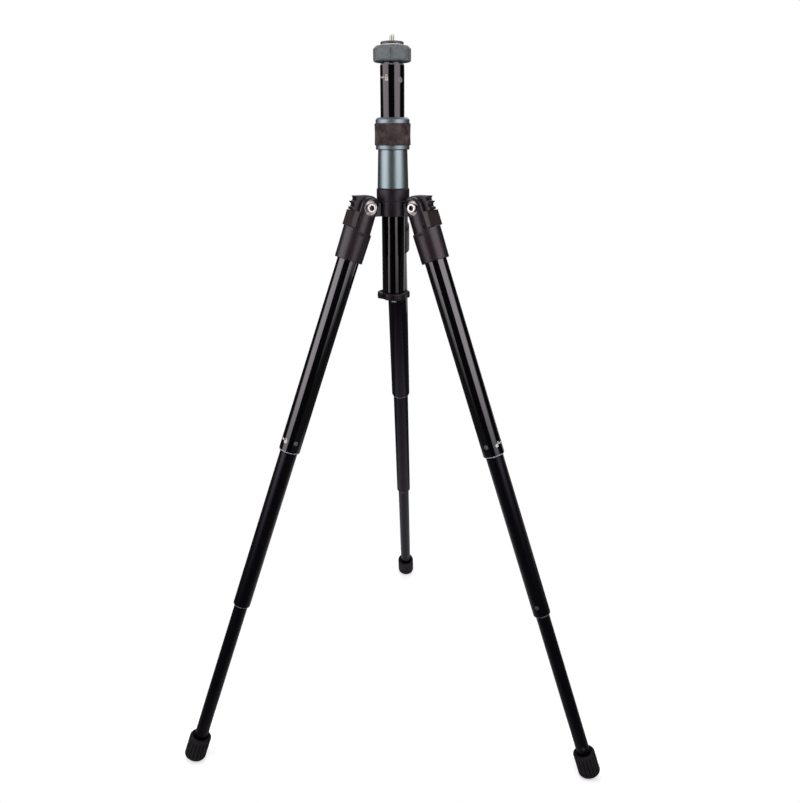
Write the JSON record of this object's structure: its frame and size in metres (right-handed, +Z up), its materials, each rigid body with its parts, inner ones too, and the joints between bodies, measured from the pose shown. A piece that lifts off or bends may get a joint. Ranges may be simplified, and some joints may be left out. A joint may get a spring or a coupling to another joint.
{
  "type": "camera tripod",
  "caption": "Indoor camera tripod with latched folding legs, twist-lock leg tubes, a two-part centre column with a lock collar, and a camera stud on a round platform.",
  "frame": {"origin": "on the floor, straight below the axis of the centre column", "axes": "+Z up along the centre column, +Y towards the rear leg, so the other legs are at the front left and front right"},
  "size_m": [0.6084, 0.531, 0.9834],
  "materials": {
    "black_anodised": "glossy black anodised",
    "satin_anodised": "satin black anodised",
    "grey_anodised": "satin blue-grey anodised",
    "grey_plastic": "matte, fine grain",
    "black_plastic": "satin moulded",
    "latch_plastic": "matte moulded",
    "bush_plastic": "satin, pale grey",
    "lock_plastic": "natural, satin",
    "rubber": "ribbed, matte",
    "steel": "turned, bright"
  },
  "bodies": {
    "hub": {"hub": "black_plastic", "hub_bush": "bush_plastic", "column_sleeve": "grey_anodised", "clamp_collet": "bush_plastic"},
    "lock_collar": {"lock_collar": "grey_anodised", "collar_grip": "rubber"},
    "column": {"column_tube": "black_anodised", "column_bush": "bush_plastic", "column_end_cap": "black_plastic", "end_cap_screw": "steel"},
    "inner_column_lock": {"inner_column_lock": "lock_plastic"},
    "inner_column": {"inner_column_tube": "black_anodised", "top_ring": "grey_plastic", "platform": "black_plastic", "camera_stud": "steel"},
    "rear_leg": {"rear_leg_knuckle": "black_plastic", "rear_leg_pivot_bolt": "steel", "rear_leg_pivot_barrel": "steel", "rear_leg_pivot_washers": "steel", "rear_leg_latch_pin": "steel", "rear_leg_latch_spring": "steel", "rear_leg_upper_tube": "black_anodised", "rear_leg_upper_bush": "bush_plastic"},
    "rear_latch": {"rear_leg_angle_latch": "latch_plastic"},
    "rear_middle_lock": {"rear_leg_middle_lock": "lock_plastic"},
    "rear_middle": {"rear_leg_middle_tube": "satin_anodised", "rear_leg_middle_bush": "bush_plastic"},
    "rear_lower_lock": {"rear_leg_lower_lock": "lock_plastic"},
    "rear_lower": {"rear_leg_lower_tube": "satin_anodised", "rear_leg_foot": "rubber"},
    "left_leg": {"left_leg_knuckle": "black_plastic", "left_leg_pivot_bolt": "steel", "left_leg_pivot_barrel": "steel", "left_leg_pivot_washers": "steel", "left_leg_latch_pin": "steel", "left_leg_latch_spring": "steel", "left_leg_upper_tube": "black_anodised", "left_leg_upper_bush": "bush_plastic"},
    "left_latch": {"left_leg_angle_latch": "latch_plastic"},
    "left_middle_lock": {"left_leg_middle_lock": "lock_plastic"},
    "left_middle": {"left_leg_middle_tube": "satin_anodised", "left_leg_middle_bush": "bush_plastic"},
    "left_lower_lock": {"left_leg_lower_lock": "lock_plastic"},
    "left_lower": {"left_leg_lower_tube": "satin_anodised", "left_leg_foot": "rubber"},
    "right_leg": {"right_leg_knuckle": "black_plastic", "right_leg_pivot_bolt": "steel", "right_leg_pivot_barrel": "steel", "right_leg_pivot_washers": "steel", "right_leg_latch_pin": "steel", "right_leg_latch_spring": "steel", "right_leg_upper_tube": "black_anodised", "right_leg_upper_bush": "bush_plastic"},
    "right_latch": {"right_leg_angle_latch": "latch_plastic"},
    "right_middle_lock": {"right_leg_middle_lock": "lock_plastic"},
    "right_middle": {"right_leg_middle_tube": "satin_anodised", "right_leg_middle_bush": "bush_plastic"},
    "right_lower_lock": {"right_leg_lower_lock": "lock_plastic"},
    "right_lower": {"right_leg_lower_tube": "satin_anodised", "right_leg_foot": "rubber"}
  },
  "joints": [
    {"name": "collar_twist", "type": "hinge", "parent": "hub", "child": "lock_collar", "pos_m": [0, 0, 0.85138], "axis": [0, 0, 1], "range_deg": [0, 120]},
    {"name": "column_slide", "type": "slide", "parent": "hub", "child": "column", "axis": [0, 0, 1], "range_m": [-0.055, 0.098]},
    {"name": "inner_column_slide", "type": "slide", "parent": "column", "child": "inner_column_lock", "axis": [0, 0, 1], "range_m": [0, 0.2]},
    {"name": "inner_column_twist", "type": "hinge", "parent": "inner_column_lock", "child": "inner_column", "pos_m": [0, 0, 0.95268], "axis": [0, 0, 1], "range_deg": [0, 120]},
    {"name": "rear_leg_fold", "type": "hinge", "parent": "hub", "child": "rear_leg", "pos_m": [0, 0.0375, 0.78218], "axis": [-1, 0, 0], "range_deg": [0, 20.7]},
    {"name": "rear_latch_pull", "type": "slide", "parent": "rear_leg", "child": "rear_latch", "axis": [0, 0.9351, 0.3545], "range_m": [0, 0.007], "stiffness_N_per_m": 500, "springref_m": -0.004, "deforming": ["rear_leg_latch_spring"]},
    {"name": "rear_middle_slide", "type": "slide", "parent": "rear_leg", "child": "rear_middle_lock", "axis": [0, 0.3545, -0.9351], "range_m": [-0.23, 0]},
    {"name": "rear_middle_twist", "type": "hinge", "parent": "rear_middle_lock", "child": "rear_middle", "pos_m": [0, 0.04031, 0.78324], "axis": [0, 0.3545, -0.9351], "range_deg": [0, 120]},
    {"name": "rear_lower_slide", "type": "slide", "parent": "rear_middle", "child": "rear_lower_lock", "axis": [0, 0.3545, -0.9351], "range_m": [-0.207, 0]},
    {"name": "rear_lower_twist", "type": "hinge", "parent": "rear_lower_lock", "child": "rear_lower", "pos_m": [0, 0.04031, 0.78324], "axis": [0, 0.3545, -0.9351], "range_deg": [0, 120]},
    {"name": "left_leg_fold", "type": "hinge", "parent": "hub", "child": "left_leg", "pos_m": [-0.03248, -0.01875, 0.78218], "axis": [0.5, -0.866, 0], "range_deg": [0, 20.7]},
    {"name": "left_latch_pull", "type": "slide", "parent": "left_leg", "child": "left_latch", "axis": [-0.8098, -0.4675, 0.3545], "range_m": [0, 0.007], "stiffness_N_per_m": 500, "springref_m": -0.004, "deforming": ["left_leg_latch_spring"]},
    {"name": "left_middle_slide", "type": "slide", "parent": "left_leg", "child": "left_middle_lock", "axis": [-0.307, -0.1772, -0.9351], "range_m": [-0.23, 0]},
    {"name": "left_middle_twist", "type": "hinge", "parent": "left_middle_lock", "child": "left_middle", "pos_m": [-0.0349, -0.02015, 0.78324], "axis": [-0.307, -0.1772, -0.9351], "range_deg": [0, 120]},
    {"name": "left_lower_slide", "type": "slide", "parent": "left_middle", "child": "left_lower_lock", "axis": [-0.307, -0.1772, -0.9351], "range_m": [-0.207, 0]},
    {"name": "left_lower_twist", "type": "hinge", "parent": "left_lower_lock", "child": "left_lower", "pos_m": [-0.0349, -0.02015, 0.78324], "axis": [-0.307, -0.1772, -0.9351], "range_deg": [0, 120]},
    {"name": "right_leg_fold", "type": "hinge", "parent": "hub", "child": "right_leg", "pos_m": [0.03248, -0.01875, 0.78218], "axis": [0.5, 0.866, 0], "range_deg": [0, 20.7]},
    {"name": "right_latch_pull", "type": "slide", "parent": "right_leg", "child": "right_latch", "axis": [0.8098, -0.4675, 0.3545], "range_m": [0, 0.007], "stiffness_N_per_m": 500, "springref_m": -0.004, "deforming": ["right_leg_latch_spring"]},
    {"name": "right_middle_slide", "type": "slide", "parent": "right_leg", "child": "right_middle_lock", "axis": [0.307, -0.1772, -0.9351], "range_m": [-0.23, 0]},
    {"name": "right_middle_twist", "type": "hinge", "parent": "right_middle_lock", "child": "right_middle", "pos_m": [0.0349, -0.02015, 0.78324], "axis": [0.307, -0.1772, -0.9351], "range_deg": [0, 120]},
    {"name": "right_lower_slide", "type": "slide", "parent": "right_middle", "child": "right_lower_lock", "axis": [0.307, -0.1772, -0.9351], "range_m": [-0.207, 0]},
    {"name": "right_lower_twist", "type": "hinge", "parent": "right_lower_lock", "child": "right_lower", "pos_m": [0.0349, -0.02015, 0.78324], "axis": [0.307, -0.1772, -0.9351], "range_deg": [0, 120]}
  ]
}
